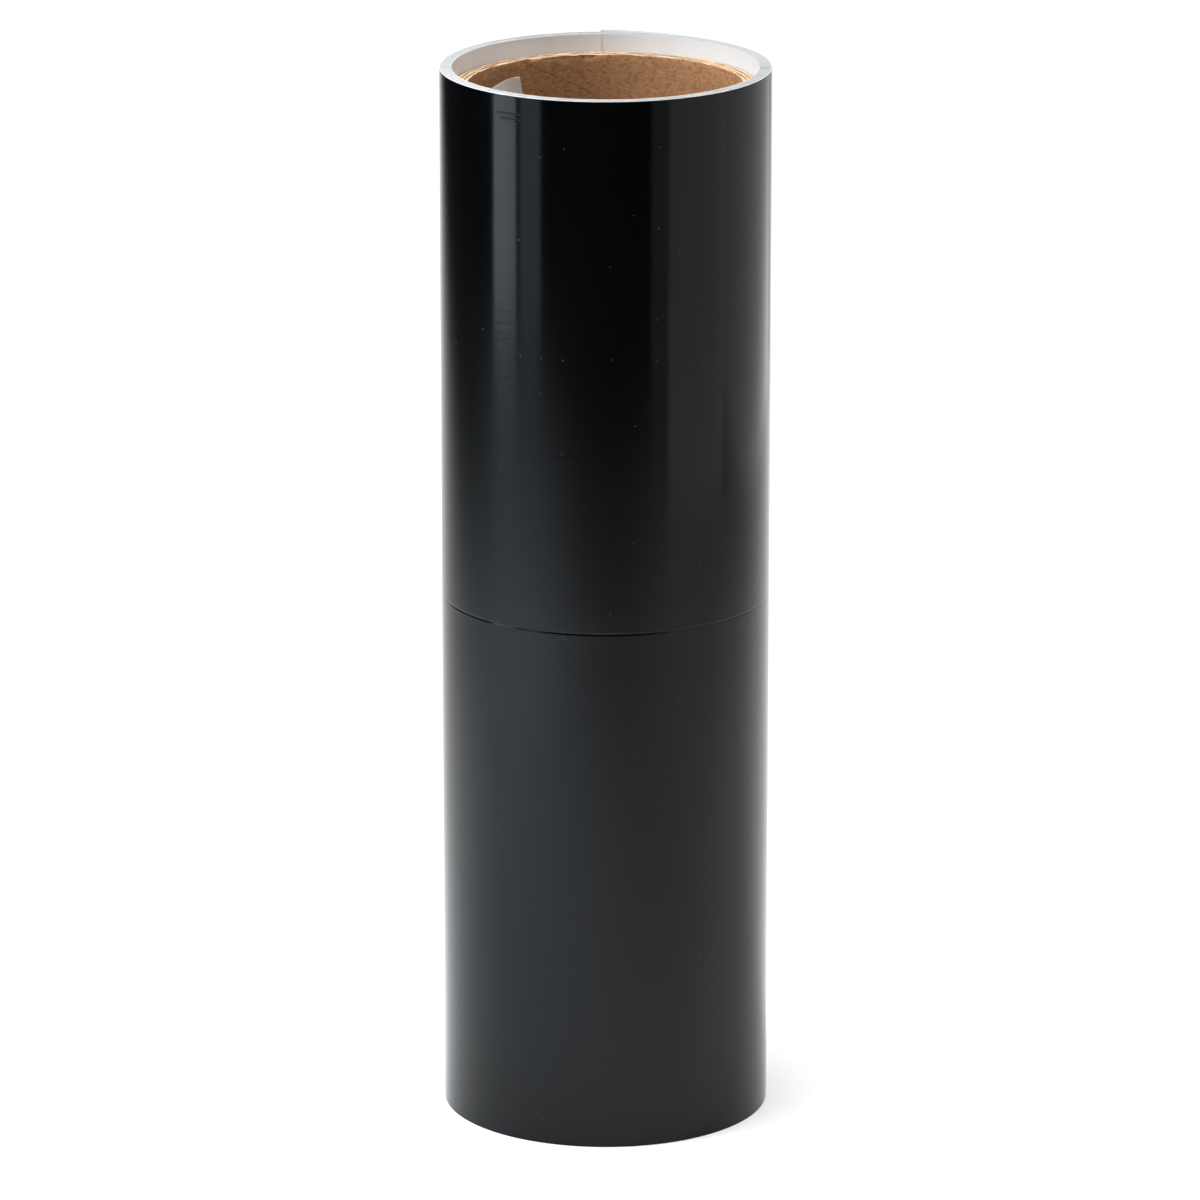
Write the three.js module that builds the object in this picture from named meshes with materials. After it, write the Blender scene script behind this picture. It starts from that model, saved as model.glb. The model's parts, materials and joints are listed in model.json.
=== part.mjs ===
// A roll of sign vinyl standing on end. A web of black vinyl film on a white release liner is wound,
// film side out, on a paper core. The roll's axis is +Z, its lower end is at z = 0, and its free end
// lies at the back (+Y). Lengths are in millimetres.
//
// A place along the web is given as "back": the degrees of winding between it and the free end. One
// lap is 360 degrees back, and the web gains LAP_PITCH of radius in each lap.
import * as THREE from "three";

// The web and its winding
const WEB_WIDTH = 304.8; // 12 in
const ROLL_RADIUS = 46.8; // outside of the film at the free end
const LAP_COUNT = 16;
const LAP_PITCH = 0.22;
const LAP_GAP = 0.02; // air between two laps
const LINER_THICKNESS = 0.13;
const ADHESIVE_GAP = 0.01; // between the liner and the film's adhesive
const FILM_THICKNESS = 0.06; // with the adhesive on it
const FREE_END_ANGLE = 91.8; // degrees about +Z from +X
const LAP = 360; // degrees back

// Where the web is divided, counted in laps from the outside
const OUTER_LAPS = [1, 4];
const BUNDLE_COUNT = 5;
const BUNDLE_LAPS = 2;
const CUT = 0.4; // degrees left open where one length of web ends and the next begins

// The outermost lap's free end, in degrees back
const TAIL_ROOT = 60;
const TAIL_MIDDLE = 30;
const FILM_END_ROOT = 15;

// The tape that holds the free end down
const TAPE_WIDTH = 19;
const TAPE_MID_HEIGHT = 152.4;
const TAPE_THICKNESS = 0.05;
const TAPE_HELD_ARC = 12; // degrees of it stuck on the free end
const TAPE_FREE_ARC = 18; // degrees of it past the free end

// The core: plies of paperboard, one on the other
const CORE_LENGTH = WEB_WIDTH - 5;
const BORE_RADIUS = 38.7;
const CORE_RADIUS = 42.93;
const PLY_COUNT = 6;
const PLY_GAP = 0.04;

// The double-sided tape that starts the web on the core
const START_TAPE_ARC = 26;
const START_TAPE_THICKNESS = 0.08;
const START_TAPE_LENGTH = 290;

// The blank label stuck askew on the wall of the bore, placed by its top right corner
const LABEL_WIDTH = 42;
const LABEL_HEIGHT = 28;
const LABEL_THICKNESS = 0.1;
const LABEL_TILT = 12; // degrees
const LABEL_CORNER_ANGLE = 132; // degrees about +Z from +X
const LABEL_CORNER_HEIGHT = 295.8;
const LABEL_COLUMNS = 14;
const LABEL_ROWS = 6;

const STATION = 5; // degrees between the points of a round outline
const CLEARANCE = 0.03; // between a piece that is laid on another and the one under it
const WEB_THICKNESS = LINER_THICKNESS + ADHESIVE_GAP + FILM_THICKNESS;
const FILM_START = LINER_THICKNESS + ADHESIVE_GAP;

const finishes = {
  film: { color: 0x101113, roughness: 0.28, metalness: 0 },
  liner: { color: 0xe9e9e6, roughness: 0.55, metalness: 0 },
  laps: { color: 0xdcdcda, roughness: 0.5, metalness: 0 },
  board: { color: 0xa87a50, roughness: 0.9, metalness: 0 },
  boardEdge: { color: 0xc9a178, roughness: 0.95, metalness: 0 },
  label: { color: 0xe8e8e4, roughness: 0.7, metalness: 0 },
  tape: { color: 0xd8d6cc, roughness: 0.35, metalness: 0 },
};

const roll = new THREE.Group();

function addPiece(name, geometry, finish) {
  const piece = new THREE.Mesh(geometry, new THREE.MeshStandardMaterial(finishes[finish]));
  piece.name = name;
  roll.add(piece);
}

// Radius of the liner's inner face, at a place along the web.
function webRadius(back) {
  return ROLL_RADIUS - WEB_THICKNESS - (LAP_PITCH * back) / LAP;
}

function pointAt(radius, back) {
  const angle = THREE.MathUtils.degToRad(FREE_END_ANGLE - back);
  return new THREE.Vector2(radius * Math.cos(angle), radius * Math.sin(angle));
}

// The points of an arc: its two ends and every station between them.
function arcPoints(from, to, radiusAt) {
  const places = [from];
  for (let k = Math.floor(from / STATION) + 1; k * STATION < to; k++) places.push(k * STATION);
  places.push(to);
  return places.map((back) => pointAt(radiusAt(back), back));
}

function upright(shape, bottom, height) {
  const geometry = new THREE.ExtrudeGeometry(shape, { depth: height, bevelEnabled: false });
  return geometry.translate(0, 0, bottom);
}

// A shape with a hole in it, both given as outlines that run clockwise.
function ring(outer, inner) {
  const shape = new THREE.Shape(outer);
  shape.holes.push(new THREE.Path(inner.reverse()));
  return shape;
}

// A curved strip between two places along the web, from one height above the liner's inner face to
// another.
function strip(from, to, low, high, bottom = 0, height = WEB_WIDTH) {
  const inner = arcPoints(from, to, (back) => webRadius(back) + low);
  const outer = arcPoints(from, to, (back) => webRadius(back) + high);
  return upright(new THREE.Shape([...inner, ...outer.reverse()]), bottom, height);
}

// Whole laps wound on each other: a ring whose two faces are one lap of spiral each, with its step.
function bundle(firstLap, endLap) {
  const outerFrom = firstLap * LAP;
  const innerFrom = (endLap - 1) * LAP;
  const innerTo = endLap * LAP - CUT;
  const thick = LAP_PITCH - LAP_GAP;
  const outer = arcPoints(outerFrom, outerFrom + LAP, (back) => webRadius(back) + thick);
  const inner = arcPoints(innerFrom, innerTo, webRadius);
  inner.push(pointAt(webRadius(innerTo - LAP), innerTo));
  return upright(ring(outer, inner), 0, WEB_WIDTH);
}

function tube(innerRadius, outerRadius, length) {
  const outer = arcPoints(0, LAP - STATION, () => outerRadius);
  const inner = arcPoints(0, LAP - STATION, () => innerRadius);
  return upright(ring(outer, inner), 0, length);
}

function addCore() {
  const ply = (CORE_RADIUS - BORE_RADIUS - PLY_GAP * (PLY_COUNT - 1)) / PLY_COUNT;
  for (let i = 0; i < PLY_COUNT; i++) {
    const inner = BORE_RADIUS + i * (ply + PLY_GAP);
    const finish = i === 0 || i === PLY_COUNT - 1 ? "board" : "boardEdge";
    addPiece(`core_ply_${i + 1}`, tube(inner, inner + ply, CORE_LENGTH), finish);
  }
}

function addStartTape() {
  const start = LAP_COUNT * LAP - CUT;
  const low = CORE_RADIUS + CLEARANCE;
  const inner = arcPoints(start - START_TAPE_ARC, start, () => low);
  const outer = arcPoints(start - START_TAPE_ARC, start, () => low + START_TAPE_THICKNESS);
  const bottom = (CORE_LENGTH - START_TAPE_LENGTH) / 2;
  const shape = new THREE.Shape([...inner, ...outer.reverse()]);
  addPiece("start_tape", upright(shape, bottom, START_TAPE_LENGTH), "tape");
}

// A flat sheet turned in its own plane, then wrapped on the bore.
function addCoreLabel() {
  const sheet = new THREE.BoxGeometry(
    LABEL_WIDTH, LABEL_HEIGHT, LABEL_THICKNESS, LABEL_COLUMNS, LABEL_ROWS, 1,
  );
  sheet.translate(-LABEL_WIDTH / 2, -LABEL_HEIGHT / 2, 0);
  sheet.rotateZ(THREE.MathUtils.degToRad(LABEL_TILT));
  const wall = BORE_RADIUS * Math.cos(THREE.MathUtils.degToRad(STATION / 2));
  const middle = wall - CLEARANCE - LABEL_THICKNESS / 2;
  const corner = THREE.MathUtils.degToRad(LABEL_CORNER_ANGLE);
  const points = sheet.getAttribute("position");
  for (let i = 0; i < points.count; i++) {
    const angle = corner - points.getX(i) / middle;
    const radius = middle - points.getZ(i);
    const height = LABEL_CORNER_HEIGHT + points.getY(i);
    points.setXYZ(i, radius * Math.cos(angle), radius * Math.sin(angle), height);
  }
  addPiece("core_label", sheet, "label");
}

function addLaps() {
  const bundlesFrom = OUTER_LAPS[1];
  const innerFrom = bundlesFrom + BUNDLE_COUNT * BUNDLE_LAPS;
  addPiece("outer_laps", bundle(...OUTER_LAPS), "laps");
  for (let i = 0; i < BUNDLE_COUNT; i++) {
    const firstLap = innerFrom - (i + 1) * BUNDLE_LAPS;
    addPiece(`lap_bundle_${i + 1}`, bundle(firstLap, firstLap + BUNDLE_LAPS), "laps");
  }
  addPiece("inner_laps", bundle(innerFrom, LAP_COUNT), "laps");
}

// The outermost lap, where the film and its liner are separate pieces.
function addLastLap() {
  const film = [FILM_START, WEB_THICKNESS];
  const liner = [0, LINER_THICKNESS];
  addPiece("last_lap_liner", strip(TAIL_ROOT + CUT, LAP - CUT, ...liner), "liner");
  addPiece("last_lap_film", strip(TAIL_ROOT + CUT, LAP - CUT, ...film), "film");
  addPiece("tail_root_liner", strip(TAIL_MIDDLE + CUT, TAIL_ROOT, ...liner), "liner");
  addPiece("tail_root_film", strip(TAIL_MIDDLE + CUT, TAIL_ROOT, ...film), "film");
  addPiece("tail_end_liner", strip(0, TAIL_MIDDLE, ...liner), "liner");
  addPiece("tail_end_film", strip(FILM_END_ROOT + CUT, TAIL_MIDDLE, ...film), "film");
  addPiece("film_end", strip(0, FILM_END_ROOT, ...film), "film");
}

// Half of the tape lies on the free end and half on the lap under it.
function addEndTape() {
  const low = WEB_THICKNESS + CLEARANCE;
  const high = low + TAPE_THICKNESS;
  const bottom = TAPE_MID_HEIGHT - TAPE_WIDTH / 2;
  const held = strip(0, TAPE_HELD_ARC, low, high, bottom, TAPE_WIDTH);
  const free = strip(LAP - TAPE_FREE_ARC, LAP - CUT, low, high, bottom, TAPE_WIDTH);
  addPiece("tape_held", held, "tape");
  addPiece("tape_free", free, "tape");
}

addCore();
addStartTape();
addCoreLabel();
addLaps();
addLastLap();
addEndTape();

export default roll;
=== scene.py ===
"""A roll of sign vinyl standing on end: black film on a white liner, wound on a paper core.

Every length here is in millimetres until a mesh is finished, when it is scaled to metres. A place
along the web is given as "back": the degrees of winding between it and the web's free end.
"""

import json
import logging
import math
from dataclasses import dataclass, field
from enum import Enum
from typing import Callable, Sequence

import bmesh
import bpy
from mathutils import Matrix, Vector, noise


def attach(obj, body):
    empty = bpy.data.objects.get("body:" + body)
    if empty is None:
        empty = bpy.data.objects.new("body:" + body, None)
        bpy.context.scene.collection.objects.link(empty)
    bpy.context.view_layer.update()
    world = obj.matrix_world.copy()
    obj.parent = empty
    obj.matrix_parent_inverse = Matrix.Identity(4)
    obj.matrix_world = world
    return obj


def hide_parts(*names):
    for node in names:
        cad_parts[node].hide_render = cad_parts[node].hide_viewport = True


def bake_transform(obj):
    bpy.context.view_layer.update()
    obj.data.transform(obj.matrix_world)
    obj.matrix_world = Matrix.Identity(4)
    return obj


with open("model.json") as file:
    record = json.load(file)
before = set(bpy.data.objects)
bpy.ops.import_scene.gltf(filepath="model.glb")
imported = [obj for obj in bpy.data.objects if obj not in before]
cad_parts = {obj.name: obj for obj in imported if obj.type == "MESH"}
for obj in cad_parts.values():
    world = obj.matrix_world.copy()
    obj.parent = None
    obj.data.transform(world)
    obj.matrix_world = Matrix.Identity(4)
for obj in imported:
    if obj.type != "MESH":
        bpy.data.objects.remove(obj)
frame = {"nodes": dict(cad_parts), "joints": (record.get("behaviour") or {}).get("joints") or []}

logging.basicConfig(level=logging.INFO, format="%(name)s: %(message)s")
log = logging.getLogger("vinyl_roll")

METRES = 0.001
LAP = 360.0
SHARP_EDGE = math.radians(35)
WEB_UV = "web"
ROLL_TOP = 0.3
BUNDLE_COUNT = 5
LAPS_IN_BUNDLE = 2

Colour = tuple[float, float, float, float]
BMesh = bmesh.types.BMesh
Faces = Sequence[bmesh.types.BMFace]
Material = bpy.types.Material
Piece = bpy.types.Object
Relief = Callable[[float, float], float]


# ---- Shader sockets as values ----


class Value:
    """A number that varies over a surface: a shader socket that takes part in arithmetic."""

    def __init__(self, surface: "Surface", socket: bpy.types.NodeSocket) -> None:
        """Wraps a socket.

        Args:
            surface: the material that the socket's node is in.
            socket: an output that carries a number.
        """
        self.surface = surface
        self.socket = socket

    def _with(self, operation: str, first: object, second: object = 0.0) -> "Value":
        """A Math node's result.

        Args:
            operation: the Math node's operation.
            first: its first input.
            second: its second input.

        Returns:
            The result as a value.
        """
        made = self.surface.node(
            "ShaderNodeMath", {"operation": operation}, {0: first, 1: second}
        )
        return Value(self.surface, made.outputs[0])

    def __add__(self, other: object) -> "Value":
        """Sum."""
        return self._with("ADD", self, other)

    def __radd__(self, other: object) -> "Value":
        """Sum, from the right."""
        return self._with("ADD", other, self)

    def __sub__(self, other: object) -> "Value":
        """Difference."""
        return self._with("SUBTRACT", self, other)

    def __rsub__(self, other: object) -> "Value":
        """Difference, from the right."""
        return self._with("SUBTRACT", other, self)

    def __mul__(self, other: object) -> "Value":
        """Product."""
        return self._with("MULTIPLY", self, other)

    def __rmul__(self, other: object) -> "Value":
        """Product, from the right."""
        return self._with("MULTIPLY", other, self)

    def above(self, limit: object) -> "Value":
        """1 where the value is over the limit, and 0 elsewhere."""
        return self._with("GREATER_THAN", self, limit)

    def step(self, low: float, high: float) -> "Value":
        """A smooth step from 0 at one value to 1 at another.

        Args:
            low: the value that gives 0.
            high: the value that gives 1.

        Returns:
            The step, between 0 and 1.
        """
        made = self.surface.node(
            "ShaderNodeMapRange",
            {"interpolation_type": "SMOOTHSTEP"},
            {"Value": self, "From Min": low, "From Max": high},
        )
        return Value(self.surface, made.outputs["Result"])


class Place(Enum):
    """What a pattern is laid out on."""

    OBJECT = "object"
    WEB = "web"


class Surface:
    """A material under construction, with one Principled shader."""

    def __init__(self, name: str) -> None:
        """Starts an empty material.

        Args:
            name: the material's name.
        """
        self.material = bpy.data.materials.new(name)
        self.material.use_nodes = True
        self.tree = self.material.node_tree
        self.tree.nodes.clear()
        self.shader = self.node("ShaderNodeBsdfPrincipled")
        output = self.node("ShaderNodeOutputMaterial")
        self.tree.links.new(self.shader.outputs[0], output.inputs["Surface"])

    def node(
        self,
        kind: str,
        settings: dict[str, object] | None = None,
        inputs: dict[int | str, object] | None = None,
    ) -> bpy.types.ShaderNode:
        """Adds a node.

        Args:
            kind: the node's type.
            settings: its properties.
            inputs: what each socket holds: a number, a colour, a value or another socket.

        Returns:
            The node.
        """
        made = self.tree.nodes.new(kind)
        for key, setting in (settings or {}).items():
            setattr(made, key, setting)
        for key, content in (inputs or {}).items():
            self.fill(made.inputs[key], content)
        return made

    def fill(self, socket: bpy.types.NodeSocket, content: object) -> None:
        """Links a socket, or sets its own number or colour.

        Args:
            socket: the input.
            content: a value, a socket, a number or a colour.
        """
        if isinstance(content, Value):
            content = content.socket
        if isinstance(content, bpy.types.NodeSocket):
            self.tree.links.new(content, socket)
        else:
            socket.default_value = content

    def where(self, place: Place, scale: tuple[float, float, float]) -> bpy.types.NodeSocket:
        """Coordinates for a pattern, in cycles per metre.

        Args:
            place: the object's own space, or the unrolled web.
            scale: how often the pattern repeats in a metre, along each axis.

        Returns:
            The scaled coordinates.
        """
        if place is Place.WEB:
            source = self.node("ShaderNodeUVMap", {"uv_map": WEB_UV}).outputs["UV"]
        else:
            source = self.node("ShaderNodeTexCoord").outputs["Object"]
        mapping = self.node("ShaderNodeMapping", inputs={"Vector": source, "Scale": scale})
        return mapping.outputs["Vector"]

    def noise(
        self,
        place: Place,
        scale: tuple[float, float, float],
        detail: float = 2.0,
        roughness: float = 0.5,
    ) -> Value:
        """Fractal noise, around 0.5.

        Args:
            place: what the noise is laid out on.
            scale: its size, in cycles per metre along each axis.
            detail: how many finer layers it has.
            roughness: how strong those layers are.

        Returns:
            The noise.
        """
        made = self.node(
            "ShaderNodeTexNoise",
            inputs={
                "Vector": self.where(place, scale),
                "Scale": 1.0,
                "Detail": detail,
                "Roughness": roughness,
            },
        )
        return Value(self, made.outputs["Fac"])

    def specks(self, place: Place, per_metre: float, size: float, share: float) -> Value:
        """Small round spots, scattered.

        Args:
            place: what they lie on.
            per_metre: how many cells a metre has, each with room for one spot.
            size: a spot's radius, as a share of its cell.
            share: how many of the cells are left empty, from 0 to 1.

        Returns:
            1 in a spot and 0 elsewhere.
        """
        flat = "2D" if place is Place.WEB else "3D"
        cells = self.node(
            "ShaderNodeTexVoronoi",
            {"voronoi_dimensions": flat},
            {"Vector": self.where(place, (per_metre,) * 3), "Scale": 1.0},
        )
        pick = self.node("ShaderNodeSeparateColor", inputs={0: cells.outputs["Color"]})
        near = 1.0 - Value(self, cells.outputs["Distance"]).step(size * 0.5, size)
        return near * Value(self, pick.outputs[0]).above(share)

    def mix(self, low: object, high: object, share: object) -> bpy.types.NodeSocket:
        """A colour between two others.

        Args:
            low: the colour where share is 0.
            high: the colour where share is 1.
            share: the value that chooses.

        Returns:
            The mixed colour.
        """
        made = self.node("ShaderNodeMix", {"data_type": "RGBA"}, {0: share, 6: low, 7: high})
        return made.outputs[2]

    def bump(self, height: Value, depth_mm: float, strength: float = 1.0) -> None:
        """Gives the shader a bump.

        Args:
            height: the pattern, from 0 to 1.
            depth_mm: how far it goes, in millimetres.
            strength: how much of it shows.
        """
        made = self.node(
            "ShaderNodeBump",
            inputs={"Height": height, "Distance": depth_mm * METRES, "Strength": strength},
        )
        self.fill(self.shader.inputs["Normal"], made.outputs["Normal"])

    def set(self, **inputs: object) -> None:
        """Sets the shader's sockets; a name's underscores stand for spaces.

        Args:
            inputs: what each socket holds.
        """
        for name, content in inputs.items():
            self.fill(self.shader.inputs[name.replace("_", " ")], content)


def grey(level: float) -> Colour:
    """A neutral colour of that brightness."""
    return (level, level, level, 1.0)


# ---- Finishes ----


@dataclass(frozen=True)
class VinylFinish:
    """Black film: glossy, with a faint orange peel along the web, dust and smudges."""

    name: str = "black_vinyl"
    colour: Colour = (0.0012, 0.0013, 0.0015, 1.0)
    dust: Colour = grey(0.12)
    dust_cover: float = 0.4
    dust_roughness: float = 0.35
    gloss_roughness: float = 0.11
    smudge_roughness: float = 0.04
    reflectance: float = 0.19
    sheen: Colour = (0.955, 1.0, 1.04, 1.0)

    def material(self) -> Material:
        """Builds the material."""
        s = Surface(self.name)
        specks = s.specks(Place.WEB, per_metre=150, size=0.036, share=0.88)
        smudge = s.noise(Place.WEB, (14, 9, 1), 4).step(0.42, 0.75)
        drawn = s.noise(Place.WEB, (18, 520, 1), 2)
        peel = s.noise(Place.WEB, (380, 620, 1), 2)
        s.set(
            Base_Color=s.mix(self.colour, self.dust, specks * self.dust_cover),
            Roughness=(
                self.gloss_roughness + smudge * self.smudge_roughness + specks * self.dust_roughness
            ),
            Specular_IOR_Level=self.reflectance,
            Specular_Tint=self.sheen,
        )
        s.bump(peel * 0.45 + drawn * 0.55 + specks * 0.5, depth_mm=0.04, strength=0.6)
        return s.material


@dataclass(frozen=True)
class LinerFinish:
    """White release paper: coated smooth, with a trace of fibre."""

    name: str = "release_liner"
    colour: Colour = (0.80, 0.83, 0.86, 1.0)
    shade: Colour = (0.75, 0.78, 0.81, 1.0)

    def material(self) -> Material:
        """Builds the material."""
        s = Surface(self.name)
        cloud = s.noise(Place.OBJECT, (60, 60, 25), 5, 0.6)
        fibre = s.noise(Place.OBJECT, (900, 900, 900), 3)
        s.set(
            Base_Color=s.mix(self.shade, self.colour, cloud.step(0.3, 0.65)),
            Roughness=0.42 + fibre * 0.12,
        )
        s.bump(fibre, depth_mm=0.01, strength=0.4)
        return s.material


@dataclass(frozen=True)
class SlitEdgeFinish:
    """The liner in the winding, of which only the slit edges show: bright, soft paper."""

    name: str = "slit_liner_edge"
    colour: Colour = grey(0.43)
    shade: Colour = grey(0.39)

    def material(self) -> Material:
        """Builds the material."""
        s = Surface(self.name)
        streak = s.noise(Place.OBJECT, (260, 260, 400), 4, 0.6)
        s.set(
            Base_Color=s.mix(self.shade, self.colour, streak.step(0.32, 0.55)),
            Roughness=0.7 + streak * 0.2,
        )
        s.bump(streak, depth_mm=0.015, strength=0.4)
        return s.material


@dataclass(frozen=True)
class BoardFinish:
    """Kraft paperboard: mottled brown, paler and torn to fibre on its cut ends, with painted shade for
    the notches in its rim.
    """

    name: str
    colour: Colour
    dark: Colour
    fibre: Colour
    cut_end: Colour
    top_mm: float
    end_band_mm: float = 0.22
    rim_blur_mm: float = 0.25
    ragged_mm: float = 0.9
    # Depths under the upper end, in mm, over which the painted notch shade fades in.
    notch_shade_band_mm: tuple[float, float] = (1.5, 0.2)
    foot_mm: tuple[float, float] = (0.25, 0.8)

    def material(self) -> Material:
        """Builds the material."""
        s = Surface(self.name)
        blotch = s.noise(Place.OBJECT, (700, 700, 1300), 6, 0.7)
        grain = s.noise(Place.OBJECT, (420, 420, 700), 4, 0.7)
        fibres = s.noise(Place.OBJECT, (900, 900, 2600), 3, 0.6)
        body = s.mix(self.dark, self.colour, blotch.step(0.28, 0.60))
        body = s.mix(body, self.fibre, (grain * 0.6 + fibres * 0.4).step(0.5, 0.72) * 0.65)
        pits = s.specks(Place.OBJECT, per_metre=330, size=0.22, share=0.80)
        body = s.mix(body, self.dark, pits * 0.75)
        separate = s.node(
            "ShaderNodeSeparateXYZ", inputs={0: s.node("ShaderNodeTexCoord").outputs["Object"]}
        )
        height = Value(s, separate.outputs["Z"])
        end = (self.top_mm - self.end_band_mm) * METRES
        # Dark specks near the upper end: painted shade standing in for the shadow inside the rim's
        # torn notches.
        near_end = height.step(*((self.top_mm - below) * METRES for below in self.notch_shade_band_mm))
        notch_shade = s.specks(Place.OBJECT, per_metre=620, size=0.42, share=0.62) * near_end
        ragged = height + (grain - 0.5) * (self.ragged_mm * METRES)
        blur = self.rim_blur_mm * METRES
        rim = ragged.step(end - blur, end + blur)
        foot = 1.0 - ragged.step(*(level * METRES for level in self.foot_mm))
        ends = s.mix(body, self.cut_end, (rim + foot) * (0.55 + fibres * 0.6))
        s.set(
            Base_Color=s.mix(ends, self.dark, notch_shade * 0.8),
            Roughness=0.88,
            Specular_IOR_Level=0.25,
        )
        s.bump(grain * 0.5 + fibres * 0.5 - pits * 0.6, depth_mm=0.16, strength=0.8)
        return s.material


@dataclass(frozen=True)
class LabelFinish:
    """Blank label paper."""

    name: str = "label_paper"
    colour: Colour = grey(0.95)
    shade: Colour = grey(0.88)

    def material(self) -> Material:
        """Builds the material."""
        s = Surface(self.name)
        fibre = s.noise(Place.OBJECT, (700, 700, 700), 4)
        s.set(Base_Color=s.mix(self.shade, self.colour, fibre.step(0.3, 0.6)), Roughness=0.6)
        s.bump(fibre, depth_mm=0.03, strength=0.4)
        return s.material


@dataclass(frozen=True)
class TapeFinish:
    """Frosted, translucent tape."""

    name: str = "frosted_tape"
    colour: Colour = (0.62, 0.60, 0.55, 1.0)
    pale: Colour = grey(0.68)
    alpha: float = 0.30
    hazy: float = 0.12

    def material(self) -> Material:
        """Builds the material."""
        s = Surface(self.name)
        haze = s.noise(Place.OBJECT, (1400, 1400, 1400), 3)
        streak = s.noise(Place.OBJECT, (90, 90, 900), 3)
        s.set(
            Base_Color=s.mix(self.colour, self.pale, streak.step(0.3, 0.8)),
            Roughness=0.34 + haze * self.hazy,
            Alpha=self.alpha + haze * self.hazy,
        )
        s.bump(haze, depth_mm=0.01, strength=0.4)
        return s.material


@dataclass(frozen=True)
class FloorFinish:
    """A pale, matt studio floor."""

    name: str = "pale_floor"
    colour: Colour = grey(0.86)
    shade: Colour = grey(0.84)

    def material(self) -> Material:
        """Builds the material."""
        s = Surface(self.name)
        cloud = s.noise(Place.OBJECT, (3, 3, 3), 3)
        s.set(
            Base_Color=s.mix(self.shade, self.colour, cloud.step(0.3, 0.7)),
            Roughness=0.75,
            Specular_IOR_Level=0.2,
        )
        return s.material


# ---- The frame's sizes, and the geometry of the winding ----


@dataclass(frozen=True)
class Reach:
    """How far a round CAD node reaches from the axis and along it."""

    inner: float
    outer: float
    bottom: float
    top: float

    @classmethod
    def of(cls, node: str) -> "Reach":
        """Measures a node of the frame.

        Args:
            node: the node's name.

        Returns:
            Its radii and heights, in millimetres.
        """
        points = [v.co / METRES for v in frame["nodes"][node].data.vertices]
        radii = [math.hypot(p.x, p.y) for p in points]
        heights = [p.z for p in points]
        return cls(min(radii), max(radii), min(heights), max(heights))


def joint_place(name: str) -> Vector:
    """Where a joint of the frame is.

    Args:
        name: the joint's name.

    Returns:
        A point on its axis, in millimetres.
    """
    joint = next(j for j in frame["joints"] if j["name"] == name)
    return Vector(joint["pos_m"]) / METRES


@dataclass(frozen=True)
class Web:
    """The web as it is wound: an even spiral, film side out, counted back from its free end."""

    film: float = 0.06
    liner: float = 0.13
    bond: float = 0.01
    free_end: float = field(init=False)
    roll_radius: float = field(init=False)
    pitch: float = field(init=False)
    width: float = field(init=False)

    def __post_init__(self) -> None:
        """Reads the roll's sizes from the frame."""
        first, last = Reach.of("lap_bundle_1"), Reach.of(f"lap_bundle_{BUNDLE_COUNT}")
        laps_between = (BUNDLE_COUNT - 1) * LAPS_IN_BUNDLE
        end = max(math.atan2(v.co.y, v.co.x) for v in frame["nodes"]["film_end"].data.vertices)
        sizes = {
            "free_end": math.degrees(end),
            "roll_radius": Reach.of("film_end").outer,
            "pitch": (last.outer - first.outer) / laps_between,
            "width": Reach.of("outer_laps").top,
        }
        for name, size in sizes.items():
            object.__setattr__(self, name, size)

    @property
    def thickness(self) -> float:
        """Film, adhesive and liner together."""
        return self.film + self.bond + self.liner

    def radius(self, back: float) -> float:
        """Radius of the liner's inner face, that many degrees back from the free end."""
        return self.roll_radius - self.thickness - self.pitch * back / LAP

    def point(self, back: float, height: float, offset: float) -> Vector:
        """A point on the web.

        Args:
            back: degrees back from the free end.
            height: along the roll's axis.
            offset: outwards from the liner's inner face.

        Returns:
            The point, in millimetres.
        """
        angle = math.radians(self.free_end - back)
        radius = self.radius(back) + offset
        return Vector((radius * math.cos(angle), radius * math.sin(angle), height))

    def back_at(self, place: Vector) -> float:
        """Degrees back, within the outermost lap, of a point beside the roll."""
        return (self.free_end - math.degrees(math.atan2(place.y, place.x))) % LAP


# ---- Mesh work ----


def flat_grid(
    bm: BMesh,
    size: tuple[float, float],
    corner: tuple[float, float],
    cells: tuple[int, int],
) -> list[bmesh.types.BMVert]:
    """Adds a flat grid in the XY plane.

    Args:
        bm: the mesh to add to.
        size: the grid's length and width.
        corner: its lowest corner.
        cells: how many faces it has along X and Y.

    Returns:
        The grid's vertices.
    """
    made = bmesh.ops.create_grid(bm, x_segments=cells[0], y_segments=cells[1], size=0.5)["verts"]
    bmesh.ops.scale(bm, vec=(size[0], size[1], 1), verts=made)
    middle = (corner[0] + size[0] / 2, corner[1] + size[1] / 2, 0)
    bmesh.ops.translate(bm, vec=middle, verts=made)
    return made


def cut_across(
    bm: BMesh, faces: Faces, height: float, **ends: bool
) -> list[bmesh.types.BMFace]:
    """Cuts a flat grid along a line of one Y.

    Args:
        bm: the mesh.
        faces: the grid's faces.
        height: the line's Y.
        ends: clear_outer or clear_inner, to throw one side away.

    Returns:
        The grid's faces after the cut.
    """
    parts = set(faces)
    geometry = list(parts) + list({e for f in parts for e in f.edges})
    geometry += list({v for f in parts for v in f.verts})
    result = bmesh.ops.bisect_plane(
        bm, geom=geometry, plane_co=(0, height, 0), plane_no=(0, 1, 0), **ends
    )
    return [g for g in result["geom"] if isinstance(g, bmesh.types.BMFace) and g.is_valid]


def thicken(bm: BMesh, faces: Faces, thickness: float) -> None:
    """Gives a sheet its thickness, on the side away from its normals.

    Args:
        bm: the mesh.
        faces: the sheet.
        thickness: how thick it becomes.
    """
    bm.normal_update()
    bmesh.ops.solidify(bm, geom=list(faces), thickness=thickness)


def add_object(name: str, data: bpy.types.ID) -> Piece:
    """Puts an object made of that data in the scene."""
    made = bpy.data.objects.new(name, data)
    bpy.context.scene.collection.objects.link(made)
    return made


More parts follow.
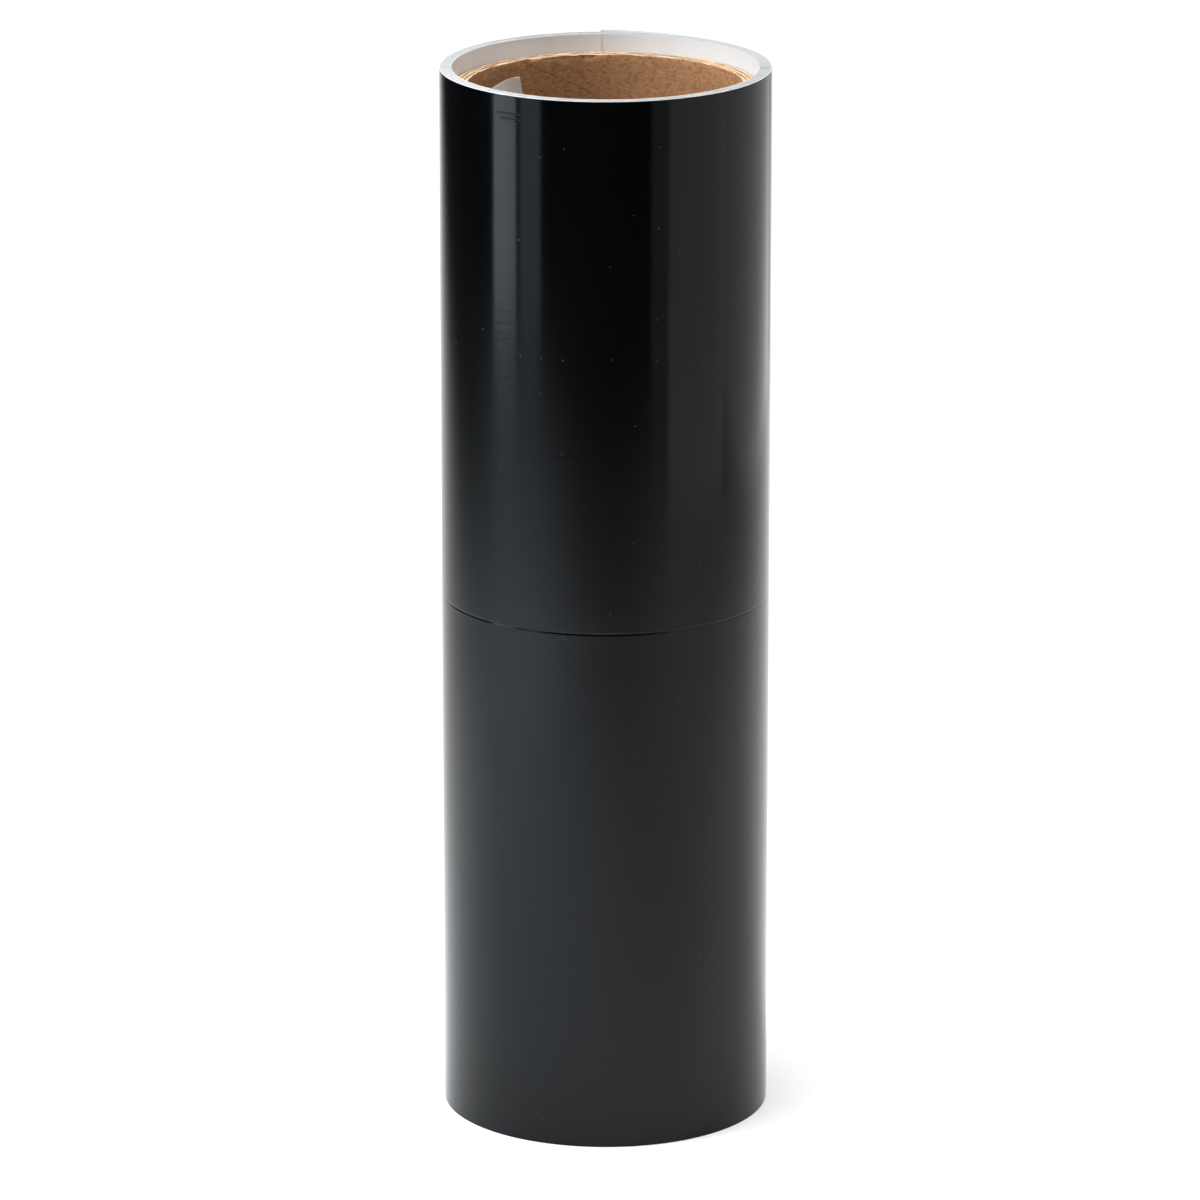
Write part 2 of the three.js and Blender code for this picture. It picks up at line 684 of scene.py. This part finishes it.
def finish_mesh(
    bm: BMesh, name: str, materials: Sequence[Material]
) -> Piece:
    """Turns a mesh in millimetres into an object in metres, smooth except at its edges.

    Args:
        bm: the mesh, which is freed.
        name: the object's name.
        materials: its materials, in the order of the faces' indices.

    Returns:
        The object, at the origin.
    """
    bmesh.ops.recalc_face_normals(bm, faces=bm.faces[:])
    for face in bm.faces:
        face.smooth = True
    for edge in bm.edges:
        edge.smooth = not (edge.is_manifold and edge.calc_face_angle(0) > SHARP_EDGE)
    bmesh.ops.scale(bm, vec=(METRES,) * 3, verts=bm.verts[:])
    mesh = bpy.data.meshes.new(name)
    bm.to_mesh(mesh)
    bm.free()
    for material in materials:
        mesh.materials.append(material)
    return add_object(name, mesh)


@dataclass
class WoundSheet:
    """A length of sheet wound with the web, from one place back to another."""

    web: Web
    back_from: float
    back_to: float
    inner: float
    outer: float
    bottom: float = 0.0
    top: float = 0.0
    degrees_per_column: float = 1.5
    rows: int = 1
    cuts: tuple[float, ...] = ()
    relief: Relief | None = None
    lift: Relief | None = None

    def add_to(self, bm: BMesh, material_index: int = 0) -> None:
        """Lays the sheet flat as a grid, winds it and gives it its thickness.

        Args:
            bm: the mesh to add to.
            material_index: the index of its faces' material.
        """
        turn = self.back_to - self.back_from
        columns = max(2, round(turn / self.degrees_per_column))
        made = flat_grid(
            bm, (turn, self.top - self.bottom), (-self.back_to, self.bottom), (columns, self.rows)
        )
        faces = list({f for v in made for f in v.link_faces})
        for height in self.cuts:
            if self.bottom < height < self.top:
                faces = cut_across(bm, faces, height)
        self._lay_out(bm, faces)
        self._wind({v for f in faces for v in f.verts})
        before = set(bm.faces) - set(faces)
        thicken(bm, faces, self.outer - self.inner)
        for face in set(bm.faces) - before:
            face.material_index = material_index

    def _lay_out(self, bm: BMesh, faces: Faces) -> None:
        """Stores where each corner lies on the unrolled web, in metres.

        Args:
            bm: the mesh.
            faces: the flat sheet.
        """
        layer = bm.loops.layers.uv.get(WEB_UV) or bm.loops.layers.uv.new(WEB_UV)
        along = math.radians(1) * self.web.roll_radius * METRES
        for face in faces:
            for loop in face.loops:
                loop[layer].uv = (loop.vert.co.x * along, loop.vert.co.y * METRES)

    def _wind(self, points: set[bmesh.types.BMVert]) -> None:
        """Moves flat points onto the spiral.

        Args:
            points: the sheet's vertices, with X as minus the degrees back and Y as the height.
        """
        for point in points:
            back, height = -point.co.x, point.co.y
            offset = self.outer + (self.relief(back, height) if self.relief else 0.0)
            rise = self.lift(back, height) if self.lift else 0.0
            point.co = self.web.point(back, height + rise, offset)


def ripple(back: float, height: float, web: Web, size: float, seed: float) -> float:
    """Smooth noise that closes on itself round the roll, from -1 to 1.

    Args:
        back: degrees back.
        height: along the axis.
        web: the winding, for its radius.
        size: the length of a ripple.
        seed: which noise.

    Returns:
        The noise at that place.
    """
    return noise.noise(web.point(back % LAP, height, 0) / size + Vector((seed, seed, seed)))


@dataclass(frozen=True)
class Crease:
    """A fine pressed line round the roll, with a raised lip under it.

    The rows, the reach and the lip's place are counted in half widths of the groove.
    """

    height: float
    depth: float
    half_width: float
    lip: float = 0.35
    back_range: tuple[float, float] | None = None
    reach: float = 4.0
    least_share: float = 0.7
    share_change: float = 0.5
    change_length: float = 11.0
    seed: float = 4.2
    end_fade: float = 6.0
    lip_away: float = 1.7
    lip_sharpness: float = 1.5

    @property
    def rows(self) -> tuple[float, ...]:
        """The heights where the sheet needs a row of points."""
        steps = (-3.2, -2.2, -1.5, -0.8, 0.0, 0.8, 1.6, 2.6)
        return tuple(self.height + step * self.half_width for step in steps)

    def depth_at(self, back: float, height: float, web: Web) -> float:
        """How far the line moves the surface outwards at a place."""
        away = (height - self.height) / self.half_width
        if abs(away) > self.reach:
            return 0.0
        change = ripple(back, self.height, web, self.change_length, self.seed)
        share = self.least_share + self.share_change * change
        if self.back_range:
            low, high = self.back_range
            across = (back % LAP - low) / (high - low)
            if not 0 < across < 1:
                return 0.0
            share *= min(1.0, self.end_fade * across * (1 - across))
        groove = math.exp(-(away**2))
        ridge = self.lip * math.exp(-((away + self.lip_away) ** 2) * self.lip_sharpness)
        return self.depth * share * (ridge - groove)


# ---- The core ----


class Board(Enum):
    """The colours of each board: its face, its dark patches, its fibres and its cut end."""

    BORE = (
        (0.44, 0.235, 0.115, 1), (0.24, 0.112, 0.047, 1), (0.58, 0.375, 0.22, 1), (0.55, 0.40, 0.26, 1)
    )
    BODY = (
        (0.46, 0.30, 0.175, 1), (0.30, 0.18, 0.10, 1), (0.60, 0.43, 0.28, 1), (0.52, 0.37, 0.235, 1)
    )


@dataclass
class Core:
    """The paper core: strips of board wound in a helix on each other, a label and a start tape."""

    board_width: float = 110.0
    seam: float = 0.12
    fray: float = 0.30
    mouth_flare: float = 0.22
    mouth_depth: float = 1.3
    chip_share: float = 0.30
    chip_depth: float = 0.62
    ply_step: float = 0.30
    label_size: tuple[float, float] = (42.0, 28.0)
    label_tilt: float = 12.0
    label_corner_angle: float = 132.0
    label_corner_drop: float = 4.0
    label_curl: float = 2.2
    label_thickness: float = 0.1
    label_curl_reach: float = 4.5
    label_gap: float = 0.05
    label_cells: tuple[int, int] = (40, 24)
    ply_count: int = 6
    bore_cell: float = 1.6
    body_cell: float = 3.2
    cell_across: float = 3.4
    mouth_rows: tuple[float, ...] = (1.0, 0.55, 0.2)
    degrees_per_ply: float = 47.0
    tears_round: float = 60.0
    waves_round: float = 19.0
    wave_range: tuple[float, float] = (0.6, 0.8)
    fray_band: float = 0.02
    fray_size: float = 1.3
    fray_bias: float = 0.35
    fray_seed: float = 3.1

    def build(self) -> list[Piece]:
        """Builds the plies and the label, and dresses the start tape."""
        made = [self._ply(number) for number in range(1, self.ply_count + 1)]
        made.append(self._label())
        tape = frame["nodes"]["start_tape"]
        tape.data.materials.clear()
        tape.data.materials.append(TapeFinish("start_tape_finish", alpha=0.9).material())
        return made

    def _ply(self, number: int) -> Piece:
        """One strip of board, wound in a helix and cut off square at both ends.

        Args:
            number: the ply's number, from the bore out.

        Returns:
            The ply.
        """
        node = f"core_ply_{number}"
        reach = Reach.of(node)
        around = 2 * math.pi * reach.inner
        lean = math.asin(self.board_width / around)
        length = (reach.top + self.board_width) / math.sin(lean) + self.board_width
        cell = self.bore_cell if number == 1 else self.body_cell
        bm = bmesh.new()
        points = flat_grid(
            bm,
            (length, self.board_width - self.seam),
            (-self.board_width, 0),
            (round(length / cell), round(self.board_width / self.cell_across)),
        )
        start = Matrix.Translation((0, -self.board_width * math.cos(lean), 0))
        bmesh.ops.transform(bm, matrix=start @ Matrix.Rotation(lean, 4, "Z"), verts=points)
        top = reach.top - (self.ply_step if number % 2 == 0 else 0.0)
        faces = cut_across(bm, bm.faces[:], top, clear_outer=True)
        faces = cut_across(bm, faces, reach.bottom, clear_inner=True)
        for share in self.mouth_rows:
            faces = cut_across(bm, faces, top - self.mouth_depth * share)
        phase = math.radians(self.degrees_per_ply * number)
        self._wrap(faces, reach, phase, bore=number == 1)
        bmesh.ops.reverse_faces(bm, faces=faces)
        thicken(bm, faces, reach.outer - reach.inner)
        self._fray(bm, top, seed=self.fray_seed * number)
        board = Board.BORE if number == 1 else Board.BODY
        finish = BoardFinish(f"{board.name.lower()}_board", *board.value, top_mm=reach.top)
        piece = finish_mesh(bm, f"ply_{number}", [finish.material()])
        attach(piece, "core")
        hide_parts(node)
        return piece

    def _wrap(
        self, faces: Faces, reach: Reach, phase: float, bore: bool
    ) -> None:
        """Wraps a flat strip on its radius, and flares the mouth of the bore.

        Args:
            faces: the flat strip.
            reach: the ply's radii and heights.
            phase: where the strip starts, in radians.
            bore: whether this ply faces the bore.
        """
        for point in {v for f in faces for v in f.verts}:
            angle = point.co.x / reach.inner + phase
            height = point.co.y
            radius = reach.inner
            if bore:
                depth = min(reach.top - height, height)
                near = max(0.0, 1 - depth / self.mouth_depth)
                around = Vector((math.cos(angle), math.sin(angle), 0))
                torn = noise.noise(around * self.tears_round)
                chip = self.chip_depth if torn > self.chip_share else 0.0
                least, change = self.wave_range
                flare = self.mouth_flare * (least + change * noise.noise(around * self.waves_round))
                radius += near * max(chip, flare)
            point.co = (radius * math.cos(angle), radius * math.sin(angle), height)

    def _fray(self, bm: BMesh, top: float, seed: float) -> None:
        """Levels both ends of a ply, and roughens the points on its upper end.

        Args:
            bm: the ply.
            top: the height of its upper end.
            seed: which noise.
        """
        for point in bm.verts:
            point.co.z = min(max(point.co.z, 0.0), top)
            if top - point.co.z < self.fray_band:
                rough = noise.noise(point.co / self.fray_size + Vector((0, 0, seed)))
                point.co.z += self.fray * (rough - self.fray_bias)

    def _label(self) -> Piece:
        """The blank label, askew on the wall of the bore, with one edge lifting."""
        bore = Reach.of("core_ply_1")
        width, height = self.label_size
        bm = bmesh.new()
        points = flat_grid(bm, (width, height), (-width, -height), self.label_cells)
        reach = self.label_curl_reach
        lifts = {p: max(0.0, 1 + p.co.x / reach) ** 2 * self.label_curl for p in points}
        bmesh.ops.rotate(
            bm, matrix=Matrix.Rotation(math.radians(self.label_tilt), 3, "Z"), verts=points
        )
        wall = bore.inner - self.label_gap
        corner = math.radians(self.label_corner_angle)
        for point in points:
            angle = corner - point.co.x / wall
            radius = wall - lifts[point]
            level = bore.top - self.label_corner_drop + point.co.y
            point.co = (radius * math.cos(angle), radius * math.sin(angle), level)
        bm.normal_update()
        if sum(f.normal.dot(f.calc_center_median() * Vector((1, 1, 0))) for f in bm.faces) > 0:
            bmesh.ops.reverse_faces(bm, faces=bm.faces[:])
        for point in points:
            point.co -= Vector((point.co.x, point.co.y, 0)).normalized() * self.label_thickness
        thicken(bm, bm.faces[:], self.label_thickness)
        piece = finish_mesh(bm, "bore_label", [LabelFinish().material()])
        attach(piece, "core")
        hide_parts("core_label")
        return piece


# ---- The winding ----


@dataclass
class Winding:
    """The laps under the outermost one, in the bundles that slide on each other.

    Each drift of a lap's edge is a length in degrees, a noise seed and a share.
    """

    web: Web
    film_set_in: float = 0.25
    uneven: float = 0.10
    liner_swell: float = 0.02
    degrees_per_column: float = 1.5
    edge_margin: float = 0.05
    drifts: tuple[tuple[float, float, float], ...] = ((47.0, 2.7, 0.75), (6.0, 9.1, 0.25))
    wall_band: float = 0.3

    def build(self) -> list[Piece]:
        """Builds every bundle of laps."""
        edge = SlitEdgeFinish().material()
        film = VinylFinish("wound_film").material()
        wall = LinerFinish("inner_wall_liner").material()
        made = [self._bundle("outer_laps", "winding", [edge, film])]
        for number in range(1, BUNDLE_COUNT + 1):
            made.append(self._bundle(f"lap_bundle_{number}", f"laps_{number}", [edge, film]))
        made.append(self._bundle("inner_laps", "core", [edge, film, wall]))
        return made

    def _laps_of(self, node: str) -> tuple[float, float]:
        """Where a bundle starts and ends, in degrees back, from its CAD node's radii.

        Args:
            node: the bundle's node.

        Returns:
            The degrees back of its outer end and of its inner end.
        """
        reach = Reach.of(node)
        gap = self.web.radius(0) - self.web.radius(LAP)
        first = round((self.web.radius(0) + gap - reach.outer) / gap)
        last = round((self.web.radius(0) - reach.inner) / gap)
        return first * LAP, last * LAP

    def _bundle(
        self, node: str, body: str, materials: Sequence[Material]
    ) -> Piece:
        """The liner and the film of one bundle.

        Args:
            node: the CAD node that it stands for.
            body: the body that it moves with.
            materials: the liner's, the film's and, on the innermost laps, the wall's.

        Returns:
            The bundle.
        """
        back_from, back_to = self._laps_of(node)
        web = self.web

        def rise(back: float, height: float) -> float:
            """How far an edge stands in from the roll's end; no edge stands past it."""
            moved = self.uneven * sum(
                share * noise.noise(Vector((back / length, seed, 0.0)))
                for length, seed, share in self.drifts
            )
            if height > web.width / 2:
                return min(0.0, moved - self.edge_margin)
            return max(0.0, moved)

        bm = bmesh.new()
        layers = (
            (0.0, web.liner + self.liner_swell, 0.0),
            (web.thickness - web.film, web.thickness, self.film_set_in),
        )
        for index, (inner, outer, inset) in enumerate(layers):
            sheet = WoundSheet(
                web, back_from, back_to, inner, outer, inset, web.width - inset,
                self.degrees_per_column, lift=rise,
            )
            sheet.add_to(bm, index)
        if len(materials) > 2:
            self._face_the_bore(bm, web.radius(back_to))
        piece = finish_mesh(bm, f"laps_of_{node}", materials)
        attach(piece, body)
        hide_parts(node)
        return piece

    def _face_the_bore(self, bm: BMesh, radius: float) -> None:
        """Gives the liner's smooth finish to the walls of the first lap.

        Args:
            bm: the bundle.
            radius: the first lap's inner radius.
        """
        for face in bm.faces:
            middle = face.calc_center_median()
            upright = abs(face.normal.z) < 0.5
            if face.material_index == 0 and upright and middle.xy.length < radius + self.wall_band:
                face.material_index = 2


class Layer(Enum):
    """The two sheets that the web is made of."""

    FILM = "film"
    LINER = "liner"


@dataclass
class LastLap:
    """The outermost lap and the free end: a film and a liner that lift near the free end, cut into
    lengths where they would bend and peel apart.
    """

    web: Web
    creases: tuple[Crease, ...]
    wave: float = 0.022
    wave_length: float = 34.0
    film_short: float = 0.12
    bend: float = 9.0
    peel_bend: float = 2.6
    wave_seed: float = 1.3
    film_rows: int = 38
    liner_rows: int = 10
    degrees_per_column: float = 0.75
    tail_rise: float = 0.50
    tail_fade: float = 45.0
    edge_lift: float = 0.30
    edge_reach: float = 5.0
    tape_hold: float = 24.0
    finishes: dict[Layer, Material] = field(default_factory=dict)

    def build(self) -> list[Piece]:
        """Builds the lap and the free end."""
        self.finishes = {
            Layer.FILM: VinylFinish().material(),
            Layer.LINER: LinerFinish().material(),
        }
        root = self.web.back_at(joint_place("tail_lift"))
        middle = self.web.back_at(joint_place("tail_uncurl"))
        peel = self.web.back_at(joint_place("film_peel"))
        made = [
            self._sheet(Layer.FILM, "last_lap_film", root, LAP),
            self._sheet(Layer.LINER, "last_lap_liner", root, LAP),
        ]
        for piece in made:
            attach(piece, "winding")
        for layer, node, near, hinge, fixed, moving, length in (
            (Layer.FILM, "tail_root_film", middle, root, "winding", "tail_root", self.bend),
            (Layer.LINER, "tail_root_liner", middle, root, "winding", "tail_root", self.bend),
            (Layer.FILM, "tail_end_film", peel, middle, "tail_root", "tail_end", self.bend),
            (Layer.LINER, "tail_end_liner", 0.0, middle, "tail_root", "tail_end", self.bend),
            (Layer.FILM, "film_end", 0.0, peel, "tail_end", "film_flap", self.peel_bend),
        ):
            piece = self._sheet(layer, node, near, hinge)
            self._bend(piece, hinge, length)
            made.append(piece)
        return made

    def _bend(
        self, piece: Piece, hinge: float, length: float
    ) -> None:
        """Bakes a sheet's placement into its mesh; the ends of a bend from a hinge towards the free
        end are worked out but not used.

        Args:
            piece: the sheet.
            hinge: the hinge, in degrees back; not used.
            length: how long the bend is, in degrees; not used.
        """
        middle = self.web.width / 2
        start = self.web.point(hinge, middle, self.web.thickness) * METRES
        end = self.web.point(hinge - length, middle, self.web.thickness) * METRES
        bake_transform(piece)

    def _relief(self, back: float, height: float) -> float:
        """The web's waves and pressed lines, and the way its free edge stands off the roll."""
        wave = self.wave * ripple(back, height, self.web, self.wave_length, self.wave_seed)
        pressed = sum(c.depth_at(back, height, self.web) for c in self.creases)
        loose = 1 - math.exp(-(((height - self.web.width / 2) / self.tape_hold) ** 2))
        edge = self.edge_lift * loose * max(0.0, 1 - back / self.edge_reach) ** 2
        return wave + pressed + edge

    def _lift(self, back: float, height: float) -> float:
        """How far the top tenth of the web stands over the other laps towards the free end."""
        into_top_tenth = height / self.web.width * 10 - 9
        if into_top_tenth < 0:
            return 0.0
        share = max(0.0, 1 - back / self.tail_fade)
        return self.tail_rise * share * into_top_tenth

    def _sheet(self, layer: Layer, node: str, near: float, far: float) -> Piece:
        """A length of the film or the liner.

        Args:
            layer: which of the two.
            node: the CAD node that it stands for.
            near: its end nearer to the free end, in degrees back.
            far: its other end.

        Returns:
            The sheet.
        """
        web, short = self.web, self.film_short
        if layer is Layer.FILM:
            span = (web.thickness - web.film, web.thickness, short, web.width - short)
            rows, slot = self.film_rows, "vinyl_film"
        else:
            span = (0.0, web.liner, 0.0, web.width)
            rows, slot = self.liner_rows, "release_liner"
        cuts = tuple(height for crease in self.creases for height in crease.rows)
        sheet = WoundSheet(
            web, near, far, *span, self.degrees_per_column, rows, cuts, self._relief, self._lift
        )
        bm = bmesh.new()
        sheet.add_to(bm)
        piece = finish_mesh(bm, f"{layer.value}_{node}", [self.finishes[layer]])
        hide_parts(node)
        return piece


@dataclass
class EndTape:
    """The tape over the free end: half on the film's end, half on the lap under it."""

    web: Web
    thickness: float = 0.05
    step_down: float = 1.6
    tooth: float = 0.9
    tooth_depth: float = 0.75
    teeth_reach: float = 3.0
    notch_share: float = 0.25
    gap: float = 0.02
    columns: int = 44
    bend_over: float = 1.4

    def build(self) -> list[Piece]:
        """Builds both halves."""
        finish = TapeFinish().material()
        held, free = Reach.of("tape_held"), Reach.of("tape_free")
        hinge = joint_place("tab_peel")
        arc = self._arc("tape_held")
        made = self._half("held_tape", 0.0, arc, held, finish, teeth_at=arc)
        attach(made, "film_flap")
        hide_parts("tape_held")
        reach = self._arc("tape_free")
        loose = self._half("loose_tape", -reach, 0.0, free, finish, teeth_at=-reach)
        start = self.web.point(0.0, hinge.z, self.web.thickness) * METRES
        end = self.web.point(-self.step_down * self.bend_over, hinge.z, self.web.thickness) * METRES
        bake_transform(loose)
        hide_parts("tape_free")
        return [made, loose]

    def _arc(self, node: str) -> float:
        """How many degrees past the free end, either way, a half of the tape reaches."""
        points = [v.co for v in frame["nodes"][node].data.vertices]
        angles = [math.degrees(math.atan2(p.y, p.x)) for p in points]
        return max(abs(self.web.free_end - min(angles)), abs(max(angles) - self.web.free_end))

    def _half(
        self,
        name: str,
        near: float,
        far: float,
        reach: Reach,
        finish: Material,
        teeth_at: float,
    ) -> Piece:
        """One half of the tape, toothed where it was torn off.

        Args:
            name: the piece's name.
            near: its end with the smaller degrees back.
            far: its other end.
            reach: its CAD node's heights.
            finish: its material.
            teeth_at: the end that has teeth.

        Returns:
            The half.
        """
        web = self.web
        height = reach.top - reach.bottom
        teeth = round(height / self.tooth)

        def drape(back: float) -> float:
            """The smooth step down, past the free end, onto the lap under it."""
            under = min(1.0, max(0.0, -back / self.step_down))
            return -web.pitch * (1 + back / LAP) * under * under * (3 - 2 * under)

        bm = bmesh.new()
        cells = (self.columns, teeth * 2)
        points = flat_grid(bm, (far - near, height), (-far, reach.bottom), cells)
        pitch = height / teeth
        depth = math.degrees(self.tooth_depth / web.roll_radius)
        for point in points:
            phase = (point.co.y - reach.bottom) / pitch % 1.0
            notch = depth if abs(phase - 0.5) < self.notch_share else 0.0
            near_teeth = max(0.0, 1 - abs(-point.co.x - teeth_at) / (self.teeth_reach * depth))
            point.co.x += math.copysign(notch * near_teeth, teeth_at)
        faces = bm.faces[:]
        for point in bm.verts:
            back = -point.co.x
            offset = web.thickness + self.gap + self.thickness + drape(back)
            point.co = web.point(back, point.co.y, offset)
        thicken(bm, faces, self.thickness)
        return finish_mesh(bm, name, [finish])


# ---- The studio ----


class Facing(Enum):
    """Which way a softbox points."""

    DOWN = "down"
    ROLL = "roll"
    MOUTH = "mouth"


@dataclass(frozen=True)
class Softbox:
    """A rectangular light: hung over the floor, or stood up on it to face the roll."""

    name: str
    facing: Facing
    bearing: float
    distance: float
    height: float
    size: tuple[float, float]
    radiance: float
    spread: float = 180.0
    colour: tuple[float, float, float] = (1.0, 1.0, 1.0)

    def build(self) -> None:
        """Adds the light; its bearing is from the front, towards the right."""
        light = bpy.data.lights.new(self.name, "AREA")
        light.shape = "RECTANGLE"
        light.size, light.size_y = self.size
        light.energy = self.radiance * math.pi * self.size[0] * self.size[1]
        light.spread = math.radians(self.spread)
        light.color = self.colour
        lamp = add_object(self.name, light)
        bearing = math.radians(self.bearing)
        lamp.location = (
            self.distance * math.sin(bearing), -self.distance * math.cos(bearing), self.height
        )
        if self.facing is Facing.ROLL:
            lamp.rotation_euler = (math.radians(90), 0, bearing)
        elif self.facing is Facing.MOUTH:
            aim = Vector((0, 0, ROLL_TOP)) - lamp.location
            lamp.rotation_euler = aim.to_track_quat("-Z", "Y").to_euler()


@dataclass
class Studio:
    """The floor, the lights and the camera."""

    camera_distance: float = 2.1243
    camera_height: float = 0.76405
    camera_pitch: float = 16.146
    camera_yaw: float = 0.0418
    lens: float = 232.24
    sensor: float = 36.0
    floor_half: float = 6.0
    ambient: float = 0.002

    def build(self) -> None:
        """Adds everything round the roll."""
        self._camera()
        self._floor()
        self._lights()

    def _camera(self) -> None:
        """Adds the camera."""
        data = bpy.data.cameras.new("camera")
        data.sensor_width = self.sensor
        data.lens = self.lens
        data.dof.use_dof = False
        data.clip_end = 50.0
        camera = add_object("camera", data)
        camera.location = (0, -self.camera_distance, self.camera_height)
        camera.rotation_euler = (
            math.radians(90 - self.camera_pitch), 0, math.radians(self.camera_yaw)
        )
        bpy.context.scene.camera = camera

    def _floor(self) -> None:
        """Adds the floor, at the roll's foot."""
        bm = bmesh.new()
        bmesh.ops.create_grid(bm, x_segments=12, y_segments=12, size=self.floor_half)
        mesh = bpy.data.meshes.new("floor")
        bm.to_mesh(mesh)
        bm.free()
        mesh.materials.append(FloorFinish().material())
        floor = add_object("floor", mesh)

    def _lights(self) -> None:
        """Adds the softboxes and a dim surround."""
        cool = (0.88, 0.99, 1.07)
        for box in (
            Softbox("overhead", Facing.DOWN, 180, 0.90, 0.95, (1.10, 3.00), 1.30, 40),
            Softbox("key", Facing.DOWN, -60, 0.42, 0.95, (0.50, 0.50), 3.00, 45, cool),
            Softbox("left_strip", Facing.ROLL, -73, 1.00, 0.32, (0.33, 0.64), 4.20, 180, cool),
            Softbox("left_panel", Facing.ROLL, -52.5, 1.00, 0.30, (0.27, 0.60), 1.58, 180, cool),
            Softbox("right_edge", Facing.ROLL, 37, 0.90, 0.30, (0.19, 0.60), 0.40),
            Softbox("right_front", Facing.ROLL, 65, 0.72, 0.30, (0.58, 0.60), 1.10),
            Softbox("right_back", Facing.ROLL, 120, 0.72, 0.30, (0.95, 0.60), 1.05),
            Softbox("mouth_left", Facing.MOUTH, -78, 0.70, 0.95, (0.36, 0.36), 1.16, 34),
            Softbox("mouth_front", Facing.MOUTH, 10, 0.70, 0.95, (0.36, 0.36), 0.22, 34),
        ):
            box.build()
        world = bpy.data.worlds.new("surround")
        world.use_nodes = True
        sky = world.node_tree.nodes["Background"].inputs
        sky["Color"].default_value = grey(1.0)
        sky["Strength"].default_value = self.ambient
        bpy.context.scene.world = world
        bpy.context.scene.view_settings.view_transform = "Standard"


# ---- Assembly ----


def pressed_lines(web: Web) -> tuple[Crease, ...]:
    """The lines pressed in the outermost film.

    Args:
        web: the winding.

    Returns:
        A crease right round the middle, two short dents under the upper edge and a faint scuff.
    """
    return (
        Crease(height=web.width / 2, depth=0.068, half_width=0.26, lip=0.2),
        Crease(height=web.width - 5.4, depth=0.14, half_width=0.25, back_range=(210.5, 222.5)),
        Crease(height=web.width - 6.9, depth=0.14, half_width=0.25, back_range=(209.5, 221.0)),
        Crease(height=230.5, depth=0.02, half_width=0.3, back_range=(155.7, 162.3)),
    )


def main() -> None:
    """Builds the roll around the frame, then the studio."""
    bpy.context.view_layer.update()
    web = Web()
    log.info("web %.1f wide, pitch %.3f, roll radius %.2f", web.width, web.pitch, web.roll_radius)
    Studio().build()
    for part in (Core(), Winding(web), LastLap(web, pressed_lines(web)), EndTape(web)):
        for piece in part.build():
            log.info("%s: %s, %d faces", type(part).__name__, piece.name, len(piece.data.polygons))


if __name__ == "__main__":
    main()
